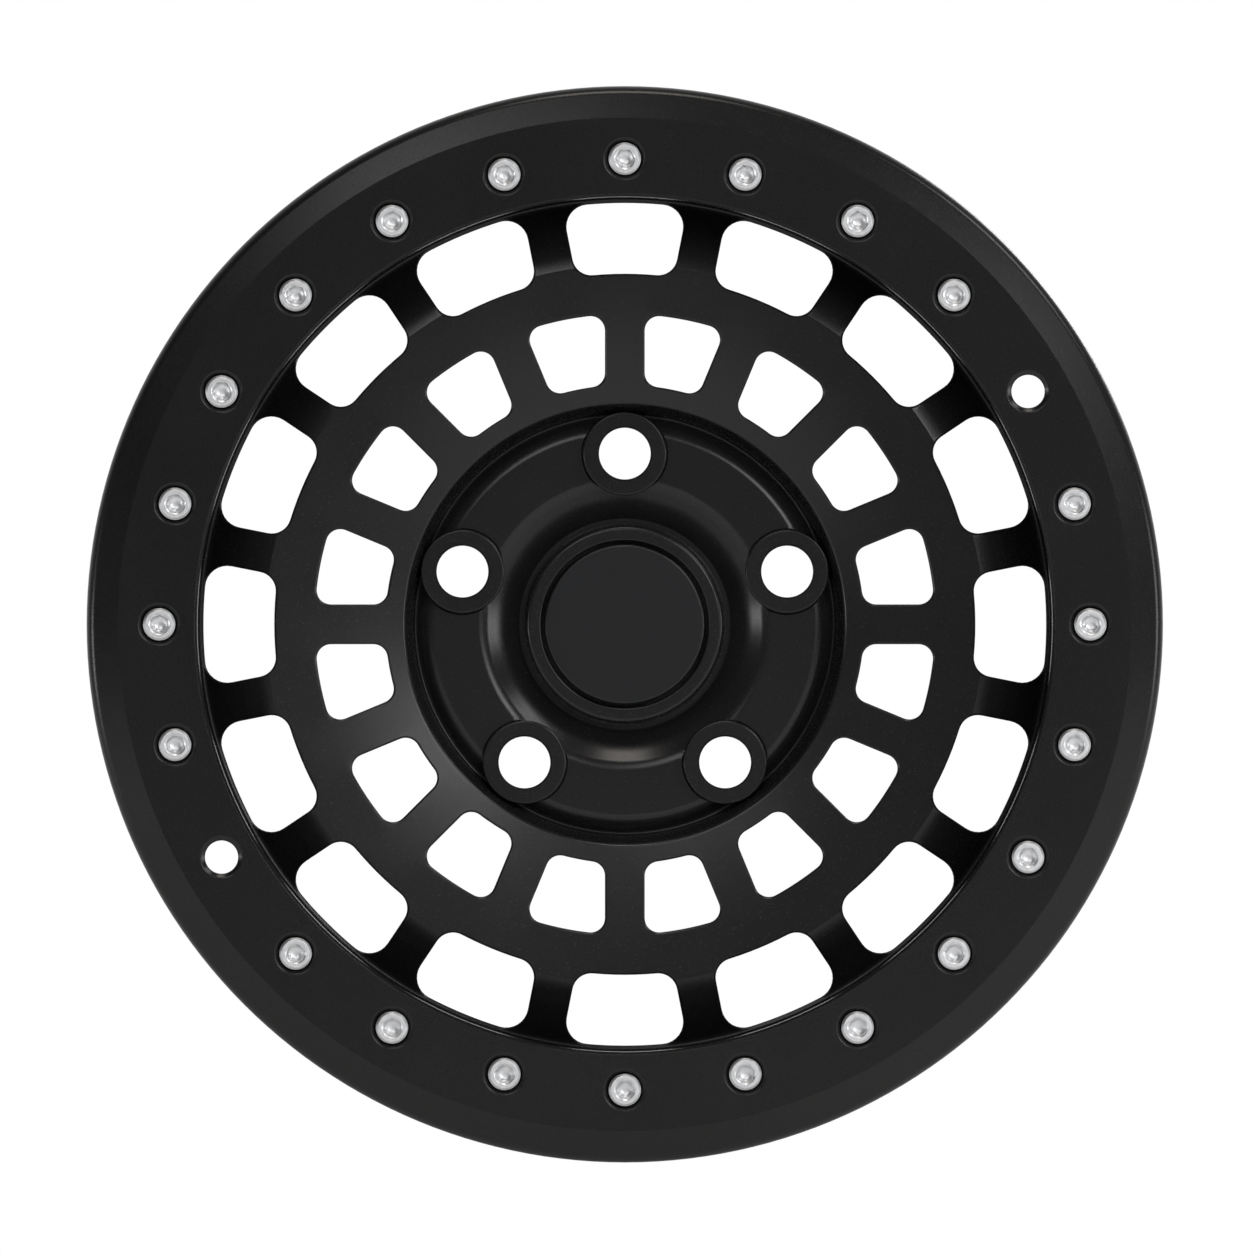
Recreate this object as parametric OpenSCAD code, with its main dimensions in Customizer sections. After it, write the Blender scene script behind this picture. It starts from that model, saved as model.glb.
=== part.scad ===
// One-piece off-road wheel with a bolted beadlock ring and a snap-in centre cap.
// The wheel's axis is Y, its front faces -Y and the hub face centre is the origin.

/* [Rim] */
// Diameter of the seats that the tyre's beads grip
bead_seat_d = 436.6; // [425:0.1:450]
// Width between the two faces that hold the tyre's beads
rim_width = 215.9; // [190:0.1:240]
// How far the hub face stands in front of the rim's centre plane
hub_offset = 40; // [32:1:46]
// Height of the rear flange above the bead seat
flange_h = 17.3; // [16:0.1:20]
// Width of the rear flange's rolled lip
flange_lip = 12; // [11.8:0.1:16]
// Wall of the rear flange
flange_wall = 5.5; // [4.5:0.1:6]
// How far the barrel's outside lies under the bead seats
seat_step = 1.8; // [1:0.1:2.5]
// Wall of the barrel
barrel_wall = 4; // [3:0.1:5]
// Width of each bead seat
seat_w = 21; // [19:0.5:24]
// Height of the humps that keep the beads on their seats
hump_h = 2.2; // [1.5:0.1:3]
// Diameter of the hole for the tyre valve
valve_hole_d = 11.5; // [8:0.1:16]

/* [Bolt land] */
// Width of the land that carries the beadlock ring
land_w = 29.9; // [28:0.1:33]
// Depth of the land from front to back
land_depth = 26; // [24:0.5:30]
// Distance from the bead seat in to the circle of bolts
bolt_inset = 13.7; // [13:0.1:14.5]
// Number of holes around the ring
bolt_count = 24; // [18:6:24]
// Diameter of the two holes that carry no bolt
open_hole_d = 14.6; // [12:0.1:15]
// Number of holes from one open hole to the other
open_hole_spacing = 12; // [6:1:12]

/* [Beadlock ring] */
// Thickness of the ring at its bolts
ring_t = 14; // [12.5:0.1:18]
// How far the ring stands out past the bead seat
ring_reach = 18.2; // [16:0.1:22]
// How far the ring's inner edge overhangs the land
ring_overhang = 0.4; // [0.2:0.1:1.5]
// Depth of the ring's lip over the edge of the land
register_depth = 2; // [1:0.1:3]
// Clearance between that lip and the bead seat
register_gap = 0.3; // [0.1:0.05:0.6]
// Width of the sloping band around the ring's face
band_w = 8.6; // [6:0.1:12]
// Tilt of the sloping band
band_tilt = 15; // [8:1:25]
// Radius that rounds the ring's outer edge
ring_round = 5.2; // [3:0.1:6]
// Chamfer on the ring's inner edge
ring_chamfer = 1.2; // [0.5:0.1:2]
// Number of grooves that grip the bead
grip_count = 3; // [2:1:4]
// Radius of each grip groove
grip_r = 0.8; // [0.5:0.1:1]

/* [Ring bolts] */
// Diameter of the bolts' thread
bolt_d = 9.5; // [8:0.1:10]
// Length of the bolts under the head
bolt_len = 25.4; // [22:0.1:28]
// Diameter of the bolts' head
head_d = 14.3; // [13:0.1:15]
// Height of the bolts' head
head_h = 9.5; // [8:0.1:10.5]
// Width across the flats of the hexagon socket
socket_af = 7.94; // [6:0.01:8.2]
// Depth of the hexagon socket
socket_depth = 4.8; // [3.5:0.1:5.5]
// Depth of the pockets that the heads sit in
pocket_depth = 8.5; // [6:0.1:9]
// Clearance around each head
head_gap = 0.6; // [0.3:0.05:0.8]
// Clearance around the thread in the ring
shank_gap = 0.5; // [0.2:0.05:0.8]
// Width of the chamfer around each pocket
pocket_chamfer = 1.6; // [0.8:0.1:2]
// Outside diameter of the steel thread inserts
insert_d = 14; // [12.5:0.1:14.5]
// Length of the thread inserts
insert_len = 16; // [12:0.5:18]
// How deep the inserts sit under the face of the land
insert_sink = 0.5; // [0.2:0.1:1]
// Clearance between the bolts and the inserts
thread_gap = 0.1; // [0.05:0.05:0.2]

/* [Disc and windows] */
// Number of windows in each of the two rows
window_count = 16; // [14:1:18]
// Width of the bars between the windows
bar_w = 17.5; // [14:0.1:20]
// Width of the band between the two rows of windows
row_gap = 17.8; // [14:0.1:22]
// Distance from the outer windows to the wall of the land
window_lip = 3.2; // [2.5:0.1:4]
// Distance from the inner windows to the hub recess
recess_margin = 8.5; // [6:0.1:11]
// Corner radius on the rim side of the outer windows
outer_corner_r = 9.7; // [7:0.1:11]
// Corner radius on the hub side of the outer windows
crease_corner_r = 8.4; // [6:0.1:10]
// Corner radius of the inner windows
inner_corner_r = 6.3; // [4:0.1:8]
// Distance from the outer windows' hub side to the crease
crease_margin = 3.8; // [2:0.1:6]
// Height of the crease above the hub face
crease_height = 44; // [42:0.5:48]
// Tilt of the disc at the hub recess
inner_tilt = 10; // [6:0.5:12]
// Tilt of the disc at the crease
outer_tilt = 3; // [1:0.5:5]
// Tilt of the bars just past the crease
bend_start = 8; // [5:1:12]
// Tilt of the bars where they reach the land
bend_end = 42; // [34:1:46]
// Radius of the bars' bend
bend_r = 24; // [18:1:28]
// Thickness of the disc
disc_t = 13; // [11:0.5:15]
// Thickness of the ring that the bars run into
root_t = 12; // [10:0.5:14]
// Wall between that ring and the hollow behind the bolts
root_wall = 8.5; // [7:0.5:10]

/* [Hub] */
// Diameter of the circle of lug holes
lug_circle_d = 150; // [146:0.5:154]
// Number of lug holes
lug_count = 5; // [4:1:6]
// Diameter of the lug holes
lug_hole_d = 22.7; // [20:0.1:25]
// Diameter of the raised pads around the lug holes
pad_d = 36.8; // [34:0.1:40]
// Height of the pads above the plateau
pad_h = 2.5; // [1.5:0.1:4]
// Diameter of the face that bolts to the vehicle's hub
hub_face_d = 178; // [172:1:180]
// Diameter of the bore over the vehicle's hub
hub_bore_d = 110.1; // [106:0.1:112]
// Depth of that bore
hub_bore_depth = 10; // [8:0.5:11]
// Height of the plateau above the hub face
plateau_height = 27; // [25.5:0.5:29]
// Depth of the trough around the boss
trough_depth = 11; // [8:0.5:11.5]
// Depth of the groove around the plateau
groove_depth = 6.5; // [4:0.5:8]
// Distance from the pads out to the edge of the recess
recess_clearance = 3.3; // [2.5:0.1:5]
// How much wider the recess is at its edge than at its foot
recess_flare = 4.5; // [3:0.1:6]
// Width of the slope from the plateau down to the groove
groove_slope_w = 5.6; // [4:0.1:7]
// Width of the plateau's level stretch with its shoulders
plateau_w = 24.9; // [22:0.1:27]
// Width of the trough's level floor, between the boss and the slope up to the plateau
trough_floor_w = 2.6; // [2.2:0.1:6]
// Diameter of the boss around the centre cap
boss_d = 86.6; // [84:0.1:90]
// Height of the boss above the plateau
boss_rise = 0.5; // [0:0.1:2]

/* [Centre cap] */
// Diameter of the cap
cap_d = 70.4; // [66:0.1:72]
// Gap between the cap and the boss
cap_gap = 1.8; // [1:0.1:2]
// Thickness of the cap's plate
cap_t = 3.4; // [2.5:0.1:4]
// How far the cap stands proud of the boss
cap_rise = 0.4; // [0:0.1:1]
// Radius that rounds the cap's edge
cap_round = 1.2; // [0.6:0.1:1.6]
// Width of the ledge that the cap rests on
cap_ledge = 4; // [3:0.1:5]
// Number of snap legs
leg_count = 6; // [4:1:8]
// Angle that each leg spans
leg_span = 30; // [20:1:36]
// Thickness of the legs
leg_t = 2.4; // [1.8:0.1:3]
// Clearance between the legs and their bore
leg_gap = 0.5; // [0.3:0.1:1]
// How far the legs' hooks stand out
hook_w = 1.3; // [1:0.1:1.8]
// Height of the hooks
hook_h = 3; // [2.5:0.1:4]
// Clearance behind the hooks
hook_gap = 0.2; // [0.1:0.05:0.4]
// Clearance around the hooks in their pocket behind the hub
hook_room = 2.7; // [1:0.1:4]
// How far the hooks stay clear of the hub bore
hook_clear = 0.3; // [0.1:0.1:1]
// Diameter of the spring wire inside the legs
wire_d = 2; // [1.5:0.1:2.4]
// How deep the wire sits in the legs
wire_sink = 0.5; // [0.3:0.1:0.8]
// Opening between the ends of the spring wire
wire_opening = 24; // [10:1:40]

/* [Hidden] */
$fn = 96;
arc_step = 20;
corner_steps = 5;
through = 400;
edge_break = 0.8;

seat_r = bead_seat_d / 2;
barrel_out_r = seat_r - seat_step;
barrel_in_r = barrel_out_r - barrel_wall;
rear_a = -hub_offset - rim_width / 2;
clamp_a = rim_width / 2 - hub_offset;
land_a = clamp_a + register_depth;
land_back_a = land_a - land_depth;
ring_face_a = land_a + ring_t;
ring_out_r = seat_r + ring_reach;
ring_band_r = ring_out_r - ring_round - band_w;
bolt_r = seat_r - bolt_inset;
open_first = round(bolt_count / 6);
open_second = (open_first + open_hole_spacing) % bolt_count;

land_in_r = seat_r - land_w;
ring_in_r = land_in_r - ring_overhang;
wall_draft = 0.9;
wall_r = land_in_r - wall_draft;
root_in_r = wall_r + root_wall;

lug_r = lug_circle_d / 2;
bore_r = hub_bore_d / 2;
face_r = hub_face_d / 2;
recess_r = lug_r + pad_d / 2 + recess_clearance;
groove_r = recess_r - recess_flare;
plateau_out_r = groove_r - groove_slope_w;
plateau_in_r = plateau_out_r - plateau_w;
boss_r = boss_d / 2;
boss_draft = 0.6;
trough_out_r = boss_r + boss_draft + trough_floor_w;
trough_fillet = 0.7 * trough_floor_w;
boss_a = plateau_height + boss_rise;
trough_a = plateau_height - trough_depth;
groove_a = plateau_height - groove_depth;
pad_a = plateau_height + pad_h;
opening_r = cap_d / 2 + cap_gap;
cap_seat_a = boss_a + cap_rise - cap_t;
leg_bore_r = opening_r - cap_ledge;
wire_r = leg_bore_r - leg_gap - leg_t - wire_d / 2 + wire_sink;
hook_pocket_r = leg_bore_r + hook_w + hook_room;
hook_seat_a = hub_bore_depth + hook_clear + hook_h + hook_gap;
wire_a = hook_seat_a + 3;

window_out_r = wall_r - window_lip + edge_break;
window_in_r = recess_r + recess_margin;
window_h = (window_out_r - window_in_r - row_gap) / 2;
crease_r = window_out_r - window_h + crease_margin;
disc_mid_r = (recess_r + crease_r) / 2;
disc_mid_a = crease_height - (crease_r - disc_mid_r) * tan(outer_tilt);
disc_edge_a = disc_mid_a - (disc_mid_r - recess_r) * tan(inner_tilt);
bow_r = 480;
bow_room_r = (crease_r - disc_mid_r - 1) / tan((inner_tilt - outer_tilt) / 2);
back_bow_r = 150;
bend_run = bend_r * tan((bend_end - bend_start) / 2);
bend_mid_r = crease_r + bend_run * cos(bend_start);
bend_mid_a = crease_height - bend_run * sin(bend_start);
root_a = bend_mid_a - (wall_r - bend_mid_r) * tan(bend_end);
root_back_a = root_a - root_t;
back_rise_r = groove_r + 6.5;
back_step_a = groove_a - 12.5;

// Points of an arc about a centre
function arc(centre, radius, from, to, steps) =
    [for (i = [0 : steps]) let (a = from + (to - from) * i / steps) centre + radius * [cos(a), sin(a)]];

function unit(v) = v / norm(v);

// Points that round the corner q of the path p, q, s
function corner(p, q, s, radius) =
    let (u = unit(p - q), v = unit(s - q))
    let (half = acos(u * v) / 2)
    let (centre = q + unit(u + v) * radius / sin(half))
    let (first = q + u * radius / tan(half) - centre, last = q + v * radius / tan(half) - centre)
    let (turn = (180 - 2 * half) * sign(cross(first, last)))
    let (start = atan2(first.y, first.x))
    arc(centre, radius, start, start + turn, max(3, ceil(abs(turn) / arc_step)));

// Closed path with each corner rounded by its own radius, given as [x, y, radius]
function rounded(path) =
    [for (i = [0 : len(path) - 1])
        let (n = len(path), p = path[(i + n - 1) % n], q = path[i], s = path[(i + 1) % n])
        each q[2] == 0 ? [[q.x, q.y]] : corner([p.x, p.y], [q.x, q.y], [s.x, s.y], q[2])];

// Point at a distance and direction from the wheel's axis
function polar(distance, direction) = distance * [cos(direction), sin(direction)];

// Direction of the centre of a window's corner arc, which touches the bar beside the window
function corner_dir(distance, corner_r) = 180 / window_count - asin((bar_w / 2 + corner_r) / distance);

// Window outline between two radii, centred on the X axis, with bars of even width beside it
module window(r_in, r_out, f_in, f_out) {
    dir_in = corner_dir(r_in + f_in, f_in);
    dir_out = corner_dir(r_out - f_out, f_out);
    bar_dir = 180 / window_count + 90;
    half = concat(
        arc([0, 0], r_out, 0, dir_out, 2),
        arc(polar(r_out - f_out, dir_out), f_out, dir_out, bar_dir, corner_steps),
        arc(polar(r_in + f_in, dir_in), f_in, bar_dir, dir_in + 180, corner_steps),
        [polar(r_in, 0)]);
    polygon(concat(half, [for (i = [len(half) - 2 : -1 : 1]) [half[i].x, -half[i].y]]));
}

// Section of the one-piece wheel, as [radius, height above the hub face]
module wheel_section() {
    hub_front = [
        [leg_bore_r, hook_seat_a, 0.3],
        [leg_bore_r, cap_seat_a, 0],
        [opening_r, cap_seat_a, 0],
        [opening_r, boss_a, 0.5],
        [boss_r, boss_a, 2],
        [boss_r + boss_draft, trough_a, trough_fillet],
        [trough_out_r, trough_a, trough_fillet],
        [plateau_in_r, plateau_height, 9],
        [plateau_out_r, plateau_height, 7],
        [groove_r, groove_a, 1.2]];
    disc_front = [
        [recess_r, disc_edge_a, 1.8],
        [disc_mid_r, disc_mid_a, min(bow_r, bow_room_r)],
        [crease_r, crease_height, 0],
        [bend_mid_r, bend_mid_a, bend_r],
        [wall_r, root_a, 2],
        [land_in_r, land_a, edge_break]];
    rim_outside = [
        [seat_r, land_a, 1.5],
        [seat_r, clamp_a - seat_w, 4],
        [seat_r + hump_h, clamp_a - seat_w - 4, 4],
        [seat_r + hump_h, clamp_a - seat_w - 7, 4],
        [barrel_out_r, clamp_a - seat_w - 14, 6],
        [barrel_out_r, rear_a + seat_w + 14, 6],
        [barrel_out_r + hump_h, rear_a + seat_w + 8, 4],
        [barrel_out_r + hump_h, rear_a + seat_w + 5, 4],
        [barrel_out_r, rear_a + seat_w, 3],
        [seat_r, rear_a, 6.3],
        [seat_r + flange_h, rear_a, 9.5],
        [seat_r + flange_h, rear_a - flange_lip, 2],
        [seat_r + flange_h - flange_wall, rear_a - flange_lip, 2],
        [seat_r + flange_h - flange_wall, rear_a - flange_wall, 3.5]];
    rim_inside = [
        [barrel_in_r, rear_a - flange_wall, 9],
        [barrel_in_r, land_back_a, 5],
        [root_in_r, land_back_a, 5],
        [root_in_r, root_back_a, 4]];
    disc_back = [
        [wall_r - 3, root_back_a, 6],
        [bend_mid_r - 2, bend_mid_a - disc_t, 20],
        [disc_mid_r, disc_mid_a - disc_t, back_bow_r],
        [recess_r + 6, disc_edge_a - disc_t, 5],
        [back_rise_r, back_step_a, 5],
        [face_r, back_step_a, 3],
        [face_r, 0, 1],
        [bore_r, 0, 1],
        [bore_r, hub_bore_depth, 1.5],
        [hook_pocket_r, hub_bore_depth, edge_break],
        [hook_pocket_r, hook_seat_a, 1]];
    polygon(rounded(concat(hub_front, disc_front, rim_outside, rim_inside, disc_back)));
}

// Turns parts modelled along Z so that their front faces -Y
module upright() {
    rotate([90, 0, 0]) children();
}

// Places children on the bolt circle, either at the bolts or at the open holes
module at_ring_holes(open) {
    for (i = [0 : bolt_count - 1])
        if ((i == open_first || i == open_second) == open)
            rotate([0, 0, 90 - i * 360 / bolt_count]) translate([bolt_r, 0, 0]) children();
}

module at_lugs() {
    for (i = [0 : lug_count - 1])
        rotate([0, 0, 90 + i * 360 / lug_count]) translate([lug_r, 0, 0]) children();
}

// Hole along Z with a chamfered mouth at the given height
module chamfered_hole(radius, mouth_a, chamfer_w, chamfer_h) {
    cylinder(h = through, r = radius, center = true);
    translate([0, 0, mouth_a - chamfer_h])
        cylinder(h = 2 * chamfer_h, r1 = radius, r2 = radius + 2 * chamfer_w);
}

module pad() {
    cylinder(h = pad_a - edge_break, r = pad_d / 2);
    translate([0, 0, pad_a - edge_break])
        cylinder(h = edge_break, r1 = pad_d / 2, r2 = pad_d / 2 - edge_break);
}

module windows() {
    for (i = [0 : window_count - 1]) {
        rotate([0, 0, 90 + i * 360 / window_count])
            translate([0, 0, root_back_a - 1])
            linear_extrude(height = crease_height + 2 - root_back_a)
            window(window_out_r - window_h, window_out_r, crease_corner_r, outer_corner_r);
        rotate([0, 0, 90 + (i + 0.5) * 360 / window_count])
            translate([0, 0, disc_edge_a - disc_t - 1])
            linear_extrude(height = crease_height + 2 - disc_edge_a + disc_t)
            window(window_in_r, window_in_r + window_h, inner_corner_r, inner_corner_r);
    }
}

module wheel() {
    color("#262626")
    upright()
    difference() {
        union() {
            rotate_extrude() wheel_section();
            intersection() {
                at_lugs() translate([0, 0, back_step_a]) pad();
                rotate_extrude() translate([trough_out_r, 0]) square([recess_r - trough_out_r, pad_a]);
            }
        }
        windows();
        at_lugs() chamfered_hole(lug_hole_d / 2, pad_a, 0.6, 0.6);
        at_ring_holes(open = true) cylinder(h = through, r = open_hole_d / 2, center = true);
        at_ring_holes(open = false) {
            translate([0, 0, land_a - insert_sink - insert_len]) cylinder(h = land_depth, r = insert_d / 2);
            translate([0, 0, land_back_a - 1]) cylinder(h = land_depth, r = bolt_d / 2 + shank_gap);
        }
        rotate([0, 0, -90 - 180 / window_count])
            translate([barrel_in_r, 0, root_back_a - 16])
            rotate([0, 90, 0])
            cylinder(h = 4 * barrel_wall, d = valve_hole_d, center = true);
    }
}

// Section of the beadlock ring: flat face, sloping band, rounded edge and clamping lip
module ring_section() {
    band_drop = band_w * tan(band_tilt);
    edge = [
        [ring_in_r, land_a, edge_break],
        [ring_in_r, ring_face_a - ring_chamfer, 0],
        [ring_in_r + ring_chamfer, ring_face_a, 0],
        [ring_band_r, ring_face_a, 0],
        [ring_out_r, ring_face_a - band_drop - ring_round * tan(band_tilt), ring_round],
        [ring_out_r, clamp_a, 2],
        [seat_r + register_gap, clamp_a, 0.5],
        [seat_r + register_gap, land_a, 0]];
    difference() {
        polygon(rounded(edge));
        for (i = [1 : grip_count])
            translate([seat_r + ring_reach * i / (grip_count + 1), clamp_a]) circle(r = grip_r, $fn = 24);
    }
}

module beadlock_ring() {
    color("#212121")
    upright()
    difference() {
        rotate_extrude() ring_section();
        at_ring_holes(open = true) chamfered_hole(open_hole_d / 2, ring_face_a, pocket_chamfer, 1);
        at_ring_holes(open = false) {
            cylinder(h = through, r = bolt_d / 2 + shank_gap);
            translate([0, 0, ring_face_a - pocket_depth]) cylinder(h = through, r = head_d / 2 + head_gap);
            translate([0, 0, ring_face_a - 1])
                cylinder(h = 2, r1 = head_d / 2 + head_gap, r2 = head_d / 2 + head_gap + 2 * pocket_chamfer);
        }
    }
}

// Section of a bolt's head and shank, with its head seat at height 0
module bolt_section() {
    polygon(rounded([
        [0, -bolt_len, 0],
        [bolt_d / 2 - 1, -bolt_len, 0],
        [bolt_d / 2, 1 - bolt_len, 0],
        [bolt_d / 2, 0, 0],
        [head_d / 2, 0, 0.3],
        [head_d / 2, head_h, 1],
        [0, head_h, 0]]));
}

module ring_bolt() {
    socket_r = socket_af / 2 / cos(30);
    difference() {
        rotate_extrude() bolt_section();
        translate([0, 0, head_h - socket_depth]) cylinder(h = head_h, r = socket_r, $fn = 6);
        translate([0, 0, head_h - socket_depth - 1.2]) cylinder(h = 1.21, r1 = 0.4, r2 = socket_af / 2);
    }
}

module ring_bolts() {
    color("silver")
    upright()
    at_ring_holes(open = false) translate([0, 0, ring_face_a - pocket_depth]) ring_bolt();
}

module thread_inserts() {
    color("gainsboro")
    upright()
    at_ring_holes(open = false)
    translate([0, 0, land_a - insert_sink - insert_len])
    difference() {
        cylinder(h = insert_len, r = insert_d / 2);
        cylinder(h = through, r = bolt_d / 2 + thread_gap, center = true);
    }
}

module leg_section() {
    leg_r = leg_bore_r - leg_gap;
    hook_a = hook_seat_a - hook_gap;
    polygon([
        [leg_r - leg_t, cap_seat_a + 0.5],
        [leg_r - leg_t, hook_a - hook_h],
        [leg_r, hook_a - hook_h],
        [leg_r + hook_w, hook_a - 1],
        [leg_r + hook_w, hook_a],
        [leg_r, hook_a],
        [leg_r, cap_seat_a + 0.5]]);
}

module centre_cap() {
    color("#1b1c1f")
    upright()
    difference() {
        union() {
            rotate_extrude() polygon(rounded([
                [0, cap_seat_a, 0],
                [cap_d / 2, cap_seat_a, 0],
                [cap_d / 2, cap_seat_a + cap_t, cap_round],
                [0, cap_seat_a + cap_t, 0]]));
            for (i = [0 : leg_count - 1])
                rotate([0, 0, i * 360 / leg_count]) rotate_extrude(angle = leg_span) leg_section();
        }
        rotate_extrude() translate([wire_r, wire_a]) circle(d = wire_d, $fn = 24);
    }
}

module cap_spring_ring() {
    color("slategray")
    upright()
    rotate([0, 0, leg_span / 2 + wire_opening / 2])
    rotate_extrude(angle = 360 - wire_opening)
    translate([wire_r, wire_a]) circle(d = wire_d, $fn = 24);
}

wheel();
beadlock_ring();
ring_bolts();
thread_inserts();
centre_cap();
cap_spring_ring();
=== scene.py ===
import math

import bmesh
import bpy
from mathutils import Matrix, Vector
from mathutils.bvhtree import BVHTree


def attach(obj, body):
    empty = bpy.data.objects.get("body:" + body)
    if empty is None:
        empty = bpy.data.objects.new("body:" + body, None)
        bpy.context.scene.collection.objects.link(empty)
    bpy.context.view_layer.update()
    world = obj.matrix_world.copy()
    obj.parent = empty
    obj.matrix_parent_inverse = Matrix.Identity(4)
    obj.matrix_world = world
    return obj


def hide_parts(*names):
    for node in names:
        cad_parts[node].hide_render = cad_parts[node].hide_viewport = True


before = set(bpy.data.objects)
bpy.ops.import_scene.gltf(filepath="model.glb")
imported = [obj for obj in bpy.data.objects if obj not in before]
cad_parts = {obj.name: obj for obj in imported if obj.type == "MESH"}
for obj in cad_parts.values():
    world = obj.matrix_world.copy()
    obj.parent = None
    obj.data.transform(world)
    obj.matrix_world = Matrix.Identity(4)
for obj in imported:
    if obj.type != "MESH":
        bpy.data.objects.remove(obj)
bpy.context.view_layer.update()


# The cast wheel
# One aluminium casting: hub, perforated disc, bars, bolt land, barrel and rear flange. Its round
# faces are turned on a lathe, so its section is spun about the axle. Like every piece here it is
# made lying face up, in millimetres with the axle along Z, and is stood upright when it is done.
MM = 0.001
ARC_STEP = math.radians(12)
# Edges shorter than this are closed, because the cuts leave slivers
SLIVER = 0.002
# How far a cutter reaches past the faces that it cuts
OVERCUT = 3.0

CREASE_R, CREASE_H = 157.85, 44.0

# Section corners as (radius, height above the hub face, rounding)
HUB_FRONT = [
    (33.0, 13.5, 0.3), (33.0, 24.5, 0), (35.0, 24.5, 0), (35.0, 17.5, 0), (37.0, 17.5, 0),
    (37.0, 27.5, 0.6), (43.3, 27.5, 2.0), (43.9, 16.0, 0.4), (46.5, 16.0, 1.8),
    (61.7, 27.0, 9.0), (86.6, 27.0, 7.0), (92.2, 20.5, 1.2)]
DISC_FRONT = [
    (96.7, 37.0, 1.8), (127.275, 42.4, 480.0), (CREASE_R, CREASE_H, 0), (165.12, 42.98, 24.0),
    (187.5, 22.82, 2.0), (188.4, 69.95, 0.8)]
RIM_OUTSIDE = [
    (218.3, 69.95, 1.5), (218.3, 46.95, 4.0), (220.5, 42.95, 4.0), (220.5, 39.95, 4.0),
    (216.5, 32.95, 6.0), (216.5, -112.95, 6.0), (218.7, -118.95, 4.0), (218.7, -121.95, 4.0),
    (216.5, -126.95, 3.0), (218.3, -147.95, 6.3), (235.6, -147.95, 9.5), (235.6, -159.95, 2.0),
    (230.1, -159.95, 2.0), (230.1, -153.45, 3.5)]
RIM_INSIDE = [(212.5, -153.45, 9.0), (212.5, 43.95, 5.0), (196.0, 43.95, 5.0), (196.0, 10.82, 4.0)]
DISC_BACK = [
    (184.5, 10.82, 6.0), (163.12, 29.98, 20.0), (127.275, 29.4, 150.0), (102.7, 24.0, 5.0),
    (98.7, 8.0, 5.0), (89.0, 8.0, 3.0), (89.0, 0.0, 1.0), (55.05, 0.0, 1.0), (55.05, 10.0, 1.5),
    (37.0, 10.0, 0.8), (37.0, 13.5, 1.0)]
WHEEL_STEPS = 208


def round_corner(bm, corner, radius):
    """Rounds one corner of a section."""
    before, after = [edge.other_vert(corner).co - corner.co for edge in corner.link_edges]
    half = before.angle(after) / 2
    bmesh.ops.bevel(
        bm, geom=[corner], offset=radius / math.tan(half), offset_type="OFFSET",
        affect="VERTICES", segments=max(3, math.ceil((math.pi - 2 * half) / ARC_STEP)),
        profile=0.5, material=-1, clamp_overlap=False)


def turned(section, steps, angle=math.tau):
    """Spins a section about the axle. A section that starts and ends on the axle stays solid."""
    bm = bmesh.new()
    corners = [bm.verts.new((radius, 0, height)) for radius, height, _ in section]
    for corner, previous in zip(corners, corners[-1:] + corners[:-1]):
        if corner.co.x or previous.co.x:
            bm.edges.new((previous, corner))
    for corner, (_, _, rounding) in zip(corners, section):
        if rounding:
            round_corner(bm, corner, rounding)
    whole = angle == math.tau
    if not whole:
        bmesh.ops.contextual_create(bm, geom=bm.edges[:])
    bmesh.ops.spin(
        bm, geom=bm.verts[:] + bm.edges[:] + bm.faces[:], axis=(0, 0, 1), angle=angle,
        steps=steps, use_merge=whole)
    bmesh.ops.remove_doubles(bm, verts=bm.verts[:], dist=0.0005)
    bmesh.ops.recalc_face_normals(bm, faces=bm.faces[:])
    return bm


def in_a_circle(bm, count, radius, start, skip=()):
    """Repeats a shape around the axle, clockwise from a start direction in degrees."""
    mesh = bpy.data.meshes.new("repeat")
    bm.to_mesh(mesh)
    bm.free()
    ring = bmesh.new()
    for place in range(count):
        if place not in skip:
            known = len(ring.verts)
            ring.from_mesh(mesh)
            ring.verts.ensure_lookup_table()
            turn = Matrix.Rotation(math.radians(start) - math.tau * place / count, 4, "Z")
            bmesh.ops.transform(
                ring, matrix=turn @ Matrix.Translation((radius, 0, 0)), verts=ring.verts[known:])
    bpy.data.meshes.remove(mesh)
    return ring


def machined(blank, bit, operation="DIFFERENCE"):
    """Cuts a bit's shape out of a blank, or welds it on."""
    pair = []
    for bm in (blank, bit):
        mesh = bpy.data.meshes.new("stock")
        bm.to_mesh(mesh)
        bm.free()
        pair.append(bpy.data.objects.new("stock", mesh))
        bpy.context.scene.collection.objects.link(pair[-1])
    cut = pair[0].modifiers.new("cut", "BOOLEAN")
    cut.operation, cut.solver, cut.object = operation, "MANIFOLD", pair[1]
    done = bpy.data.meshes.new_from_object(
        pair[0].evaluated_get(bpy.context.evaluated_depsgraph_get()))
    result = bmesh.new()
    result.from_mesh(done)
    for stock in pair:
        mesh = stock.data
        bpy.data.objects.remove(stock)
        bpy.data.meshes.remove(mesh)
    bpy.data.meshes.remove(done)
    return result


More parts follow.
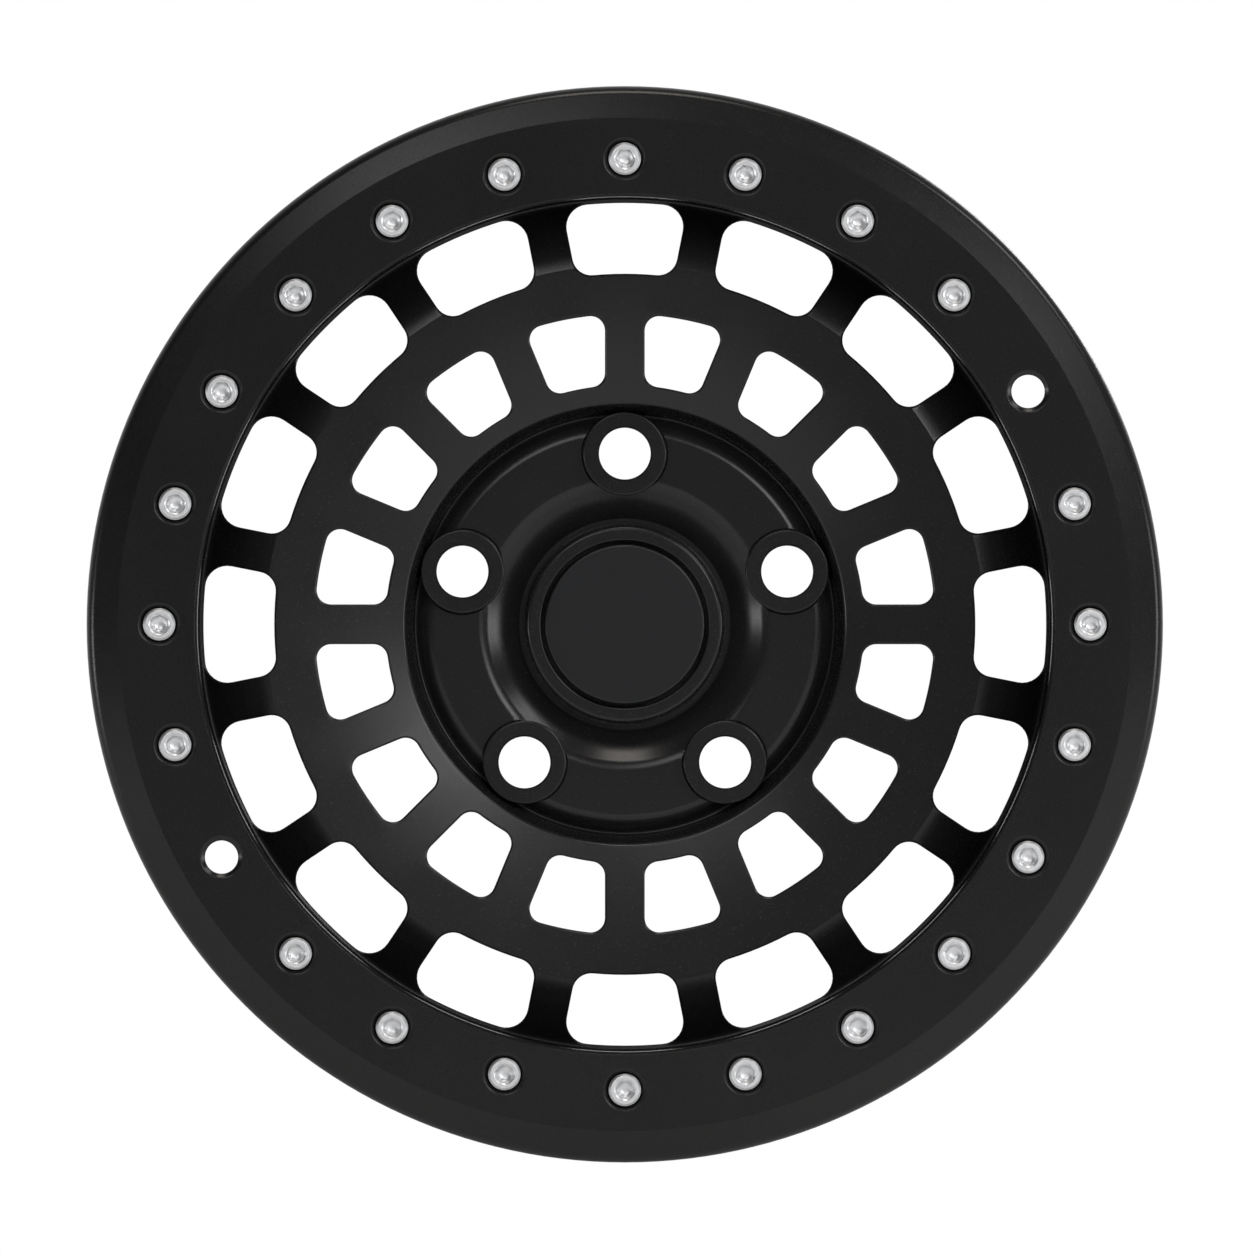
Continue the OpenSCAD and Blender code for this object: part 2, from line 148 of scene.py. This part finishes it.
def stood_up(name, bm, sharp=38):
    """Stands a finished shape upright, in metres, and makes it a piece with smooth round faces.
    Edges that turn by more degrees than sharp stay crisp."""
    bmesh.ops.dissolve_degenerate(bm, dist=SLIVER, edges=bm.edges[:])
    upright = Matrix.Rotation(math.pi / 2, 4, "X") @ Matrix.Scale(MM, 4)
    bmesh.ops.transform(bm, matrix=upright, verts=bm.verts[:])
    mesh = bpy.data.meshes.new(name)
    bm.to_mesh(mesh)
    bm.free()
    mesh.shade_smooth()
    mesh.set_sharp_from_angle(angle=math.radians(sharp))
    piece = bpy.data.objects.new(name, mesh)
    bpy.context.scene.collection.objects.link(piece)
    even = piece.modifiers.new("even light on flat faces", "WEIGHTED_NORMAL")
    even.keep_sharp = True
    return piece


casting = turned(HUB_FRONT + DISC_FRONT + RIM_OUTSIDE + RIM_INSIDE + DISC_BACK, WHEEL_STEPS)

# The windows are cut with one bit for each row, whose lips follow the casting's faces
WINDOW_COUNT = 16
BAR_W = 17.5
OUTER_ROW = (154.05, 185.1, 8.4, 9.7)
INNER_ROW = (105.2, 136.25, 6.3, 6.3)
FRONT_LIP, BACK_LIP = 1.1, 0.8
LIP_END = math.radians(78)
LIP_STEPS = 4
BIT_REACH = 8.0


def sweep(centre, radius, start, end, steps):
    """Points along an arc, with directions in degrees."""
    points = []
    for step in range(steps + 1):
        direction = math.radians(start + (end - start) * step / steps)
        points.append(centre + radius * Vector((math.cos(direction), math.sin(direction))))
    return points


def window_outline(r_in, r_out, round_in, round_out, grow):
    """A window's outline around the X axis: two arcs about the axle and two sides along bars."""
    half_turn = 180 / WINDOW_COUNT
    axle = Vector((0, 0))
    reach_in, reach_out = r_in + round_in, r_out - round_out
    dir_in = half_turn - math.degrees(math.asin((BAR_W / 2 + round_in) / reach_in))
    dir_out = half_turn - math.degrees(math.asin((BAR_W / 2 + round_out) / reach_out))
    corner_in = sweep(axle, reach_in, dir_in, dir_in, 1)[0]
    corner_out = sweep(axle, reach_out, dir_out, dir_out, 1)[0]
    side = half_turn + 90
    half = sweep(axle, r_out + grow, 0, dir_out, 4)[:-1]
    half += sweep(corner_out, round_out + grow, dir_out, side, 8)
    half += sweep(corner_in, round_in + grow, side, dir_in + 180, 8)
    half += sweep(axle, r_in - grow, dir_in, 0, 3)[1:]
    return half + [Vector((point.x, -point.y)) for point in half[-2:0:-1]]


def felt(probe, radius, side):
    """Height of the casting's front (side 1) or back (side -1) face at a radius."""
    return probe.ray_cast(Vector((radius, 0.1, 500 * side)), Vector((0, 0, -side)))[0].z


def window_bit(probe, row):
    """A cutter whose section flares at both faces, so that the window's lips come out rounded."""
    loops = [(-1, BACK_LIP * (1 - math.cos(LIP_END)), -BIT_REACH)]
    for step in range(LIP_STEPS, -1, -1):
        lean = LIP_END * step / LIP_STEPS
        loops.append((-1, BACK_LIP * (1 - math.cos(lean)), BACK_LIP * (1 - math.sin(lean))))
    for step in range(LIP_STEPS + 1):
        lean = LIP_END * step / LIP_STEPS
        loops.append((1, FRONT_LIP * (1 - math.cos(lean)), -FRONT_LIP * (1 - math.sin(lean))))
    loops.append((1, FRONT_LIP * (1 - math.cos(LIP_END)), BIT_REACH))
    bm = bmesh.new()
    previous = None
    for side, grow, rise in loops:
        points = [point.to_3d() for point in window_outline(*row, grow)]
        for point in points:
            point.z = felt(probe, point.xy.length, side) + rise
        verts = [bm.verts.new(point) for point in points]
        edges = [bm.edges.new((verts[i - 1], verts[i])) for i in range(len(verts))]
        if previous:
            bmesh.ops.bridge_loops(bm, edges=previous + edges)
        else:
            bmesh.ops.contextual_create(bm, geom=edges)
        previous = edges
    bmesh.ops.contextual_create(bm, geom=previous)
    bmesh.ops.recalc_face_normals(bm, faces=bm.faces[:])
    return bm


probe = BVHTree.FromBMesh(casting)
outer_bits = in_a_circle(window_bit(probe, OUTER_ROW), WINDOW_COUNT, 0, 90)
inner_bits = in_a_circle(window_bit(probe, INNER_ROW), WINDOW_COUNT, 0, 90 + 180 / WINDOW_COUNT)
casting = machined(casting, outer_bits)
casting = machined(casting, inner_bits)

# Five pads stand around the lug holes, which are drilled through them
LUG_COUNT, LUG_R = 5, 75.0
PAD_R, PAD_FOOT, PAD_TOP, LUG_HOLE_R, LUG_STEPS = 18.4, 4.0, 29.5, 11.35, 72
pad = turned([
    (0, PAD_FOOT, 0), (PAD_R, PAD_FOOT, 0), (PAD_R, PAD_TOP, 0.9), (0, PAD_TOP, 0)], LUG_STEPS)
casting = machined(casting, in_a_circle(pad, LUG_COUNT, LUG_R, 90), "UNION")

# The tool that faces the pads leaves a narrow groove around each, which shows as a dark line
PLATEAU_H, RELIEF_DEPTH = 27.0, 0.6
RELIEF_IN, RELIEF_FOOT, RELIEF_OUT = PAD_R - 0.05, PAD_R + 0.15, PAD_R + 0.75
relief = turned([
    (RELIEF_IN, PLATEAU_H - RELIEF_DEPTH, 0), (RELIEF_FOOT, PLATEAU_H - RELIEF_DEPTH, 0),
    (RELIEF_OUT, PLATEAU_H + 0.1, 0), (RELIEF_OUT, PLATEAU_H + 1, 0),
    (RELIEF_IN, PLATEAU_H + 1, 0)], LUG_STEPS)
casting = machined(casting, in_a_circle(relief, LUG_COUNT, LUG_R, 90))


def drill(radius, back, front, lip, steps):
    """A drill with a chamfer of the given width at both faces."""
    wide = radius + lip + OVERCUT
    return turned([
        (0, back - OVERCUT, 0), (wide, back - OVERCUT, 0), (radius, back + lip, 0.4),
        (radius, front - lip, 0.4), (wide, front + OVERCUT, 0), (0, front + OVERCUT, 0)], steps)


lug_drill = drill(LUG_HOLE_R, 0, PAD_TOP, 0.7, LUG_STEPS)
casting = machined(casting, in_a_circle(lug_drill, LUG_COUNT, LUG_R, 90))

# 22 holes in the land take a thread insert each. Two more hold nothing and go straight through.
BOLT_PLACES, BOLT_R, OPEN_PLACES = 24, 204.6, (4, 16)
TAKEN_PLACES = [place for place in range(BOLT_PLACES) if place not in OPEN_PLACES]
LAND_FRONT, LAND_BACK = 69.95, 43.95
OPEN_R, SHANK_HOLE_R, INSERT_R, INSERT_FOOT, HOLE_LIP = 7.3, 5.25, 7.0, 53.45, 0.6
step_drill = turned([
    (0, LAND_BACK - OVERCUT, 0), (SHANK_HOLE_R + HOLE_LIP + OVERCUT, LAND_BACK - OVERCUT, 0),
    (SHANK_HOLE_R, LAND_BACK + HOLE_LIP, 0), (SHANK_HOLE_R, INSERT_FOOT, 0),
    (INSERT_R, INSERT_FOOT, 0), (INSERT_R, LAND_FRONT + OVERCUT, 0),
    (0, LAND_FRONT + OVERCUT, 0)], 40)
open_drill = drill(OPEN_R, LAND_BACK, LAND_FRONT, HOLE_LIP, 48)
casting = machined(casting, in_a_circle(step_drill, BOLT_PLACES, BOLT_R, 90, OPEN_PLACES))
casting = machined(casting, in_a_circle(open_drill, BOLT_PLACES, BOLT_R, 90, TAKEN_PLACES))

# The valve hole goes through the barrel, square to its wall
BARREL_IN, BARREL_OUT = 212.5, 216.5
VALVE_R, VALVE_H, VALVE_DIR = 5.75, -5.18, -90 - 180 / WINDOW_COUNT
valve_drill = drill(VALVE_R, BARREL_IN, BARREL_OUT, 0.5, 48)
aim = (Matrix.Rotation(math.radians(VALVE_DIR), 4, "Z") @ Matrix.Translation((0, 0, VALVE_H))
       @ Matrix.Rotation(math.pi / 2, 4, "Y"))
bmesh.ops.transform(valve_drill, matrix=aim, verts=valve_drill.verts[:])
casting = machined(casting, valve_drill)

cast_wheel = stood_up("cast_wheel", casting)


def crisp_line(piece, radius, height):
    """Keeps a turned line crisp where two faces meet at a small angle."""
    close = 0.05 * MM
    for edge in piece.data.edges:
        ends = [piece.data.vertices[index].co for index in edge.vertices]
        if all(abs(end.xz.length - radius * MM) < close and abs(end.y + height * MM) < close
               for end in ends):
            edge.use_edge_sharp = True


# The crease between the disc and the bars
crisp_line(cast_wheel, CREASE_R, CREASE_H)


def linear(code):
    """Turns an sRGB hex colour to the linear numbers that Blender mixes."""
    parts = [int(code[i:i + 2], 16) / 255 for i in (1, 3, 5)]
    return [p / 12.92 if p <= 0.04045 else ((p + 0.055) / 1.055) ** 2.4 for p in parts] + [1]


def add(material, kind, sockets, **settings):
    """Adds a shader node with its settings, its socket values and its links."""
    node = material.node_tree.nodes.new("ShaderNode" + kind)
    for name, value in settings.items():
        setattr(node, name, value)
    for name, value in sockets.items():
        if isinstance(value, bpy.types.NodeSocket):
            material.node_tree.links.new(value, node.inputs[name])
        else:
            node.inputs[name].default_value = value
    return node


def new_finish(name, **sockets):
    """Starts a material with its shader's plain values. Gives the material and its shader."""
    material = bpy.data.materials.new(name)
    material.use_nodes = True
    shader = material.node_tree.nodes["Principled BSDF"]
    for socket, value in sockets.items():
        shader.inputs[socket.replace("_", " ")].default_value = value
    return material, shader


# Noise keeps to its middle, so what lies between these two is stretched over the whole range
NOISE_LOW, NOISE_HIGH = 0.3, 0.7


def clouded(material, shader, place, size, dark, light):
    """Colours a finish between two colours, in lumps that have a real size in millimetres."""
    lumps = add(material, "TexNoise", {"Vector": place, "Scale": 1 / (size * MM)}).outputs["Fac"]
    share = add(material, "MapRange", {
        "Value": lumps, "From Min": NOISE_LOW, "From Max": NOISE_HIGH}).outputs[0]
    mix = add(material, "Mix", {0: share, 6: linear(dark), 7: linear(light)}, data_type="RGBA")
    material.node_tree.links.new(mix.outputs[2], shader.inputs["Base Color"])


def grained(material, shader, place, size, smooth, rough, depth, strength, detail=2.0):
    """Gives a finish a grain that has a real size and depth in millimetres. The roughness goes
    between two values with it."""
    lumps = add(material, "TexNoise", {
        "Vector": place, "Scale": 1 / (size * MM), "Detail": detail}).outputs["Fac"]
    roughness = add(material, "MapRange", {
        "Value": lumps, "From Min": NOISE_LOW, "From Max": NOISE_HIGH,
        "To Min": smooth, "To Max": rough}).outputs[0]
    bumps = add(material, "Bump", {
        "Height": lumps, "Distance": depth * MM, "Strength": strength}).outputs["Normal"]
    material.node_tree.links.new(roughness, shader.inputs["Roughness"])
    material.node_tree.links.new(bumps, shader.inputs["Normal"])


# Powder coat on aluminium: charged powder melts to a satin film that keeps a fine orange peel.
# The eye sees a soft black with blurred highlights and a faint, even sparkle. The peel's real
# lumps are about 0.5 mm across and are drawn at 0.9 mm, so that they show.
wheel_coat, coat_shader = new_finish("satin_black_powder_coat", IOR=1.38)
coat_place = add(wheel_coat, "TexCoord", {}).outputs["Object"]
clouded(wheel_coat, coat_shader, coat_place, size=45, dark="#19191a", light="#1d1d1e")
grained(
    wheel_coat, coat_shader, coat_place, size=0.9, smooth=0.22, rough=0.28,
    depth=0.02, strength=0.5)
cast_wheel.data.materials.append(wheel_coat)
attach(cast_wheel, "root")
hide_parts("wheel")


# The thread inserts
# Plain stainless steel sleeves, screwed into the land before the ring goes on, so that the bolts
# don't wear the aluminium. The CAD solids have the right shape and get turned steel's finish.
insert_steel, insert_shader = new_finish("turned_stainless_steel", Metallic=1.0)
insert_place = add(insert_steel, "TexCoord", {}).outputs["Object"]
lathe_marks = add(insert_steel, "Mapping", {"Vector": insert_place, "Scale": (1, 6, 1)}).outputs[0]
clouded(insert_steel, insert_shader, lathe_marks, size=1.2, dark="#98999b", light="#b2b3b5")
grained(
    insert_steel, insert_shader, lathe_marks, size=1.2, smooth=0.28, rough=0.42,
    depth=0.01, strength=0.4)
thread_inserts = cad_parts["thread_inserts"]
for slot in thread_inserts.material_slots:
    slot.material = insert_steel


# The beadlock ring
# Turned from aluminium plate: a flat face, a sloping band, a rounded edge, and on its back a lip
# over the land's corner and three grooves that grip the tyre. The bolts' heads sit in pockets.
RING_FACE, RING_CLAMP, POCKET_FLOOR = 83.95, 67.95, 75.45
RING_IN, REGISTER_R, BAND_R, RING_OUT = 188.0, 218.6, 222.7, 236.5
RING_CHAMFER, BAND_EDGE_H = 1.2, 79.6
HEAD_HOLE_R, MOUTH_R, MOUTH_H = 7.75, 9.3, 1.2
GROOVES, GROOVE_R = (231.95, 227.4, 222.85), 0.8
RING_SECTION = [
    (RING_IN, LAND_FRONT, 0.8), (RING_IN, RING_FACE - RING_CHAMFER, 0.3),
    (RING_IN + RING_CHAMFER, RING_FACE, 0.3), (BAND_R, RING_FACE, 0),
    (RING_OUT, BAND_EDGE_H, 5.2), (RING_OUT, RING_CLAMP, 2.0)]
for groove_r in GROOVES:
    RING_SECTION += [
        (groove_r + GROOVE_R, RING_CLAMP, 0), (groove_r, RING_CLAMP + GROOVE_R, 0.5),
        (groove_r - GROOVE_R, RING_CLAMP, 0)]
RING_SECTION += [(REGISTER_R, RING_CLAMP, 0.5), (REGISTER_R, LAND_FRONT, 0)]

ring = turned(RING_SECTION, WHEEL_STEPS)


def mouth(radius):
    """The part of a cutter that opens a hole softly on to the ring's face."""
    return [(radius, RING_FACE - MOUTH_H, 0.9), (MOUTH_R - 0.3, RING_FACE - 0.18, 0.7),
            (MOUTH_R + 1.3, RING_FACE + 0.3, 0), (MOUTH_R + 1.3, RING_FACE + OVERCUT, 0),
            (0, RING_FACE + OVERCUT, 0)]


BIT_FOOT = RING_CLAMP - OVERCUT
pocket_bit = turned([
    (0, BIT_FOOT, 0), (SHANK_HOLE_R, BIT_FOOT, 0), (SHANK_HOLE_R, POCKET_FLOOR, 0),
    (HEAD_HOLE_R, POCKET_FLOOR, 0.3)] + mouth(HEAD_HOLE_R), 48)
open_bit = turned([(0, BIT_FOOT, 0), (OPEN_R, BIT_FOOT, 0)] + mouth(OPEN_R), 48)
ring = machined(ring, in_a_circle(pocket_bit, BOLT_PLACES, BOLT_R, 90, OPEN_PLACES))
ring = machined(ring, in_a_circle(open_bit, BOLT_PLACES, BOLT_R, 90, TAKEN_PLACES))
outer_ring = stood_up("outer_ring", ring)
crisp_line(outer_ring, BAND_R, RING_FACE)

# Powder coat like the wheel's, from a batch that is a little darker and has a finer peel. The eye
# sees one even near-black face that sets off the bright screws.
ring_coat, ring_shader = new_finish("dull_black_powder_coat", IOR=1.38)
ring_place = add(ring_coat, "TexCoord", {}).outputs["Object"]
clouded(ring_coat, ring_shader, ring_place, size=60, dark="#141414", light="#181818")
grained(
    ring_coat, ring_shader, ring_place, size=0.8, smooth=0.23, rough=0.28,
    depth=0.02, strength=0.4)
outer_ring.data.materials.append(ring_coat)
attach(outer_ring, "root")
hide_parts("beadlock_ring")


# The ring bolts
# 22 socket head cap screws, cold headed from steel, rolled thread, zinc plated. A chamfer runs
# round each head, and a broached hexagon with a countersunk mouth goes down to a shallow bowl.
HEAD_R, HEAD_H, BOLT_SHANK_R, BOLT_LEN, BOLT_CHAMFER = 7.15, 9.5, 4.75, 25.4, 1.0
bolt = turned([
    (0, -BOLT_LEN, 0), (BOLT_SHANK_R - BOLT_CHAMFER, -BOLT_LEN, 0),
    (BOLT_SHANK_R, BOLT_CHAMFER - BOLT_LEN, 0), (BOLT_SHANK_R, 0, 0), (HEAD_R, 0, 0.3),
    (HEAD_R, HEAD_H - BOLT_CHAMFER, 0.3), (HEAD_R - BOLT_CHAMFER, HEAD_H, 0.3),
    (0, HEAD_H, 0)], 48)

SOCKET_AF, HEX_DEPTH, HEX_ROUND = 7.94, 2.4, 0.35
socket_r = SOCKET_AF / 2 / math.cos(math.pi / 6)
hexagon = bmesh.new()
bmesh.ops.create_cone(
    hexagon, cap_ends=True, segments=6, radius1=socket_r, radius2=socket_r,
    depth=2 * HEX_DEPTH)
corners = [edge for edge in hexagon.edges if abs(edge.verts[0].co.z - edge.verts[1].co.z) > 1]
bmesh.ops.bevel(
    hexagon, geom=corners, offset=HEX_ROUND, affect="EDGES", segments=2, profile=0.5,
    material=-1)
bmesh.ops.translate(hexagon, verts=hexagon.verts[:], vec=(0, 0, HEAD_H))
bolt = machined(bolt, hexagon)

BOWL_DEPTH, BOWL_R, LEAD_DEPTH, LEAD_R = 3.8, 3.75, 0.5, socket_r + 0.1
bowl = turned([
    (0, HEAD_H - BOWL_DEPTH, 0), (BOWL_R * 0.7, HEAD_H - BOWL_DEPTH + 0.3, 3.0),
    (BOWL_R, HEAD_H - HEX_DEPTH, 0), (BOWL_R, HEAD_H - LEAD_DEPTH - 0.01, 0),
    (SOCKET_AF / 2, HEAD_H - LEAD_DEPTH, 0), (LEAD_R, HEAD_H, 0),
    (LEAD_R, HEAD_H + 1, 0), (0, HEAD_H + 1, 0)], 48)
bolt = machined(bolt, bowl)

# Distance from the screw's axis and height, for marks that run in rings
turned_uv = bolt.loops.layers.uv.new("turned")
for face in bolt.faces:
    for loop in face.loops:
        loop[turned_uv].uv = (loop.vert.co.xy.length * MM, loop.vert.co.z * MM)
bmesh.ops.translate(bolt, verts=bolt.verts[:], vec=(0, 0, POCKET_FLOOR))
screws = in_a_circle(bolt, BOLT_PLACES, BOLT_R, 90, OPEN_PLACES)
cap_screws = stood_up("cap_screws", screws, sharp=25)

# Zinc plate, clear passivated, over machined steel: a light cool silver with soft highlights,
# spread by the plating and by the fine rings that the die leaves on the head, about 0.3 mm apart
zinc, zinc_shader = new_finish("clear_zinc_plated_steel", Metallic=1.0)
ring_uv = add(zinc, "UVMap", {}, uv_map="turned").outputs[0]
zinc_place = add(zinc, "TexCoord", {}).outputs["Object"]
clouded(zinc, zinc_shader, zinc_place, size=2.5, dark="#d0d1d4", light="#dddedf")
grained(
    zinc, zinc_shader, ring_uv, size=0.3, smooth=0.36, rough=0.44,
    depth=0.01, strength=0.12, detail=1)
cap_screws.data.materials.append(zinc)
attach(cap_screws, "root")
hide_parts("ring_bolts")


# The centre cap
# One moulding in black plastic: a flat round plate with a soft edge, and six legs behind it
# whose hooks snap behind the wheel's bore. It rests on a ledge, a hair proud of the boss.
CAP_R, CAP_SEAT, CAP_TOP, CAP_ROUND = 35.2, 24.5, 27.9, 1.2
LEG_COUNT, LEG_SPAN, LEG_IN, LEG_OUT, LEG_ROOT_H = 6, 30, 30.1, 32.5, 25.0
HOOK_FOOT, HOOK_H, HOOK_R = 10.3, 13.3, 33.8
SPRING_R, SPRING_H, WIRE_R, SPRING_SINK = 29.6, 16.5, 1.0, 0.5
cap = turned([
    (0, CAP_SEAT, 0), (CAP_R, CAP_SEAT, 0.3), (CAP_R, CAP_TOP, CAP_ROUND), (0, CAP_TOP, 0)], 160)
leg = turned([
    (LEG_IN, LEG_ROOT_H, 0), (LEG_IN, SPRING_H + 0.8, 0), (LEG_IN + SPRING_SINK, SPRING_H, 0.6),
    (LEG_IN, SPRING_H - 0.8, 0), (LEG_IN, HOOK_FOOT, 0.4), (LEG_OUT, HOOK_FOOT, 0.4),
    (HOOK_R, HOOK_H - 1, 0.4), (HOOK_R, HOOK_H, 0.2), (LEG_OUT, HOOK_H, 0.2),
    (LEG_OUT, LEG_ROOT_H, 0)], 10, math.radians(LEG_SPAN))
cap = machined(cap, in_a_circle(leg, LEG_COUNT, 0, 0), "UNION")
snap_cap = stood_up("snap_cap", cap)

# ABS moulded in a spark-eroded tool: near-black, a touch cooler than the paint, with a fine even
# grain of about 0.4 mm, drawn at 0.8 mm, that breaks up its highlight
cap_abs, abs_shader = new_finish("grained_black_abs", IOR=1.42)
abs_place = add(cap_abs, "TexCoord", {}).outputs["Object"]
clouded(cap_abs, abs_shader, abs_place, size=20, dark="#0d0e11", light="#111215")
grained(
    cap_abs, abs_shader, abs_place, size=0.8, smooth=0.28, rough=0.36,
    depth=0.03, strength=0.6, detail=3)
snap_cap.data.materials.append(cap_abs)
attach(snap_cap, "root")
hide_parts("centre_cap")


# The cap's spring ring
# An open ring of drawn spring wire that lies in a groove inside the legs and presses them out.
# Its ends are cut square, a finger's width apart, so that it can be squeezed and taken out.
SPRING_OPENING = 24
spring_start = LEG_SPAN / 2 + SPRING_OPENING / 2
wire = bmesh.new()
bmesh.ops.create_circle(wire, cap_ends=True, segments=20, radius=WIRE_R)
bmesh.ops.rotate(wire, verts=wire.verts[:], matrix=Matrix.Rotation(math.pi / 2, 3, "X"))
bmesh.ops.translate(wire, verts=wire.verts[:], vec=(SPRING_R, 0, SPRING_H))
bmesh.ops.rotate(
    wire, verts=wire.verts[:], matrix=Matrix.Rotation(math.radians(spring_start), 3, "Z"))
bmesh.ops.spin(
    wire, geom=wire.verts[:] + wire.edges[:] + wire.faces[:], axis=(0, 0, 1),
    angle=math.radians(360 - SPRING_OPENING), steps=120)
bmesh.ops.recalc_face_normals(wire, faces=wire.faces[:])
spring_wire = stood_up("spring_wire", wire)

# Oiled spring steel: darker than the bolts, with the fine uneven sheen that the oil leaves
drawn, drawn_shader = new_finish("drawn_spring_steel", Metallic=1.0)
drawn_place = add(drawn, "TexCoord", {}).outputs["Object"]
clouded(drawn, drawn_shader, drawn_place, size=0.6, dark="#77787a", light="#8f9092")
grained(
    drawn, drawn_shader, drawn_place, size=0.6, smooth=0.3, rough=0.45,
    depth=0.01, strength=0.3)
spring_wire.data.materials.append(drawn)
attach(spring_wire, "root")
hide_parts("cap_spring_ring")


# The studio
# The wheel stands on a pale floor. Two softboxes near the camera draw the sloping disc, five at the
# sides draw the edges and one stands behind. The room is white behind the wheel and dim in front.
# The camera is level with the axle and square to the wheel. Sizes here are in metres.
FLOOR_H, FLOOR_SIZE = -RING_OUT * MM, 4.0
floor_bm = bmesh.new()
bmesh.ops.create_grid(floor_bm, x_segments=1, y_segments=1, size=FLOOR_SIZE / 2)
bmesh.ops.translate(floor_bm, verts=floor_bm.verts[:], vec=(0, 0, FLOOR_H))
floor_mesh = bpy.data.meshes.new("floor")
floor_bm.to_mesh(floor_mesh)
floor_bm.free()
floor = bpy.data.objects.new("floor", floor_mesh)
bpy.context.scene.collection.objects.link(floor)
paper, paper_shader = new_finish("white_paper", Roughness=0.9)
paper_place = add(paper, "TexCoord", {}).outputs["Object"]
clouded(paper, paper_shader, paper_place, size=3, dark="#e9e9e9", light="#ececec")

# A glow makes the floor look whiter, also where the wheel mirrors it, and lights nothing
FLOOR_LIFT = 0.35
paper_path = add(paper, "LightPath", {})
shown = paper_path.outputs["Is Camera Ray"]
for ray in ("Is Transmission Ray", "Is Glossy Ray"):
    shown = add(
        paper, "Math", {0: shown, 1: paper_path.outputs[ray]}, operation="MAXIMUM").outputs[0]
lift = add(paper, "Math", {0: shown, 1: FLOOR_LIFT}, operation="MULTIPLY").outputs[0]
glow = add(paper, "Emission", {"Color": (1, 1, 1, 1), "Strength": lift}).outputs[0]
both = add(paper, "AddShader", {0: paper_shader.outputs[0], 1: glow}).outputs[0]
paper.node_tree.links.new(both, paper.node_tree.nodes["Material Output"].inputs["Surface"])
floor.data.materials.append(paper)

# The room's light, from its dim front to its bright back. The camera sees plain white, and so do
# mirrored and transmitted rays that leave toward the back.
room = bpy.data.worlds.new("studio")
room.use_nodes = True
bpy.context.scene.world = room
FRONT_LIGHT, BACK_LIGHT, WHITE = 0.05, 0.45, 1.0
FRONT_END, BACK_START = -0.2, 0.6
room_path = add(room, "LightPath", {}).outputs
toward = add(room, "SeparateXYZ", {0: add(room, "TexCoord", {}).outputs["Generated"]})
depth = add(room, "MapRange", {
    "Value": toward.outputs["Y"], "From Min": FRONT_END, "From Max": BACK_START,
    "To Min": 0, "To Max": 1}).outputs[0]
mirrored = add(room, "Math", {
    0: room_path["Is Glossy Ray"], 1: room_path["Is Transmission Ray"]},
    operation="MAXIMUM").outputs[0]
back = add(room, "Mix", {0: mirrored, 2: BACK_LIGHT, 3: WHITE}).outputs[0]
around = add(room, "Mix", {0: depth, 2: FRONT_LIGHT, 3: back}).outputs[0]
level = add(room, "Mix", {0: room_path["Is Camera Ray"], 2: around, 3: WHITE}).outputs[0]
air = room.node_tree.nodes["Background"]
air.inputs["Color"].default_value = (1, 1, 1, 1)
room.node_tree.links.new(level, air.inputs["Strength"])

LAMP_DISTANCE = 5.0


def softbox(name, off_axis, clock, size, power, colour):
    """A square softbox that faces the wheel, at an angle off the axle and a clock angle."""
    lean, turn = math.radians(off_axis), math.radians(clock)
    place = LAMP_DISTANCE * Vector(
        (math.sin(lean) * math.cos(turn), -math.cos(lean), math.sin(lean) * math.sin(turn)))
    light = bpy.data.lights.new(name, "AREA")
    light.shape, light.size, light.energy = "SQUARE", size, power
    light.color = linear(colour)[:3]
    lamp = bpy.data.objects.new(name, light)
    aimed = (-place).to_track_quat("-Z", "Y").to_matrix().to_4x4()
    lamp.matrix_world = Matrix.Translation(place) @ aimed
    bpy.context.scene.collection.objects.link(lamp)


softbox("key_softbox", 24, 36, 1.4, 50, "#ffffff")
softbox("top_left_softbox", 28, 113, 1.6, 31, "#ffffff")
softbox("right_softbox", 65, 0, 1.6, 50, "#ffffff")
softbox("high_right_softbox", 65, 45, 1.6, 45, "#ffffff")
softbox("top_softbox", 65, 90, 1.6, 50, "#fff8f0")
softbox("left_softbox", 65, 190, 1.6, 85, "#ffffff")
softbox("low_left_softbox", 65, 228, 1.6, 32, "#ffffff")
softbox("back_softbox", 140, 40, 1.6, 60, "#ffffff")

# The wheel is 473 mm across and its centre lies a few pixels off the picture's centre
IMAGE_PX, WHEEL_X_PX, WHEEL_Y_PX, MM_PER_PX = 1254, 624.8, 624.3, 0.4394
CAMERA_DISTANCE = 3.0
pixel = MM_PER_PX * MM
lens = bpy.data.cameras.new("camera")
lens.type = "ORTHO"
lens.ortho_scale = IMAGE_PX * pixel
camera = bpy.data.objects.new("camera", lens)
camera.location = (
    (IMAGE_PX / 2 - WHEEL_X_PX) * pixel, -CAMERA_DISTANCE, (WHEEL_Y_PX - IMAGE_PX / 2) * pixel)
camera.rotation_euler = (math.pi / 2, 0, 0)
bpy.context.scene.collection.objects.link(camera)
bpy.context.scene.camera = camera
bpy.context.scene.view_settings.view_transform = "Standard"
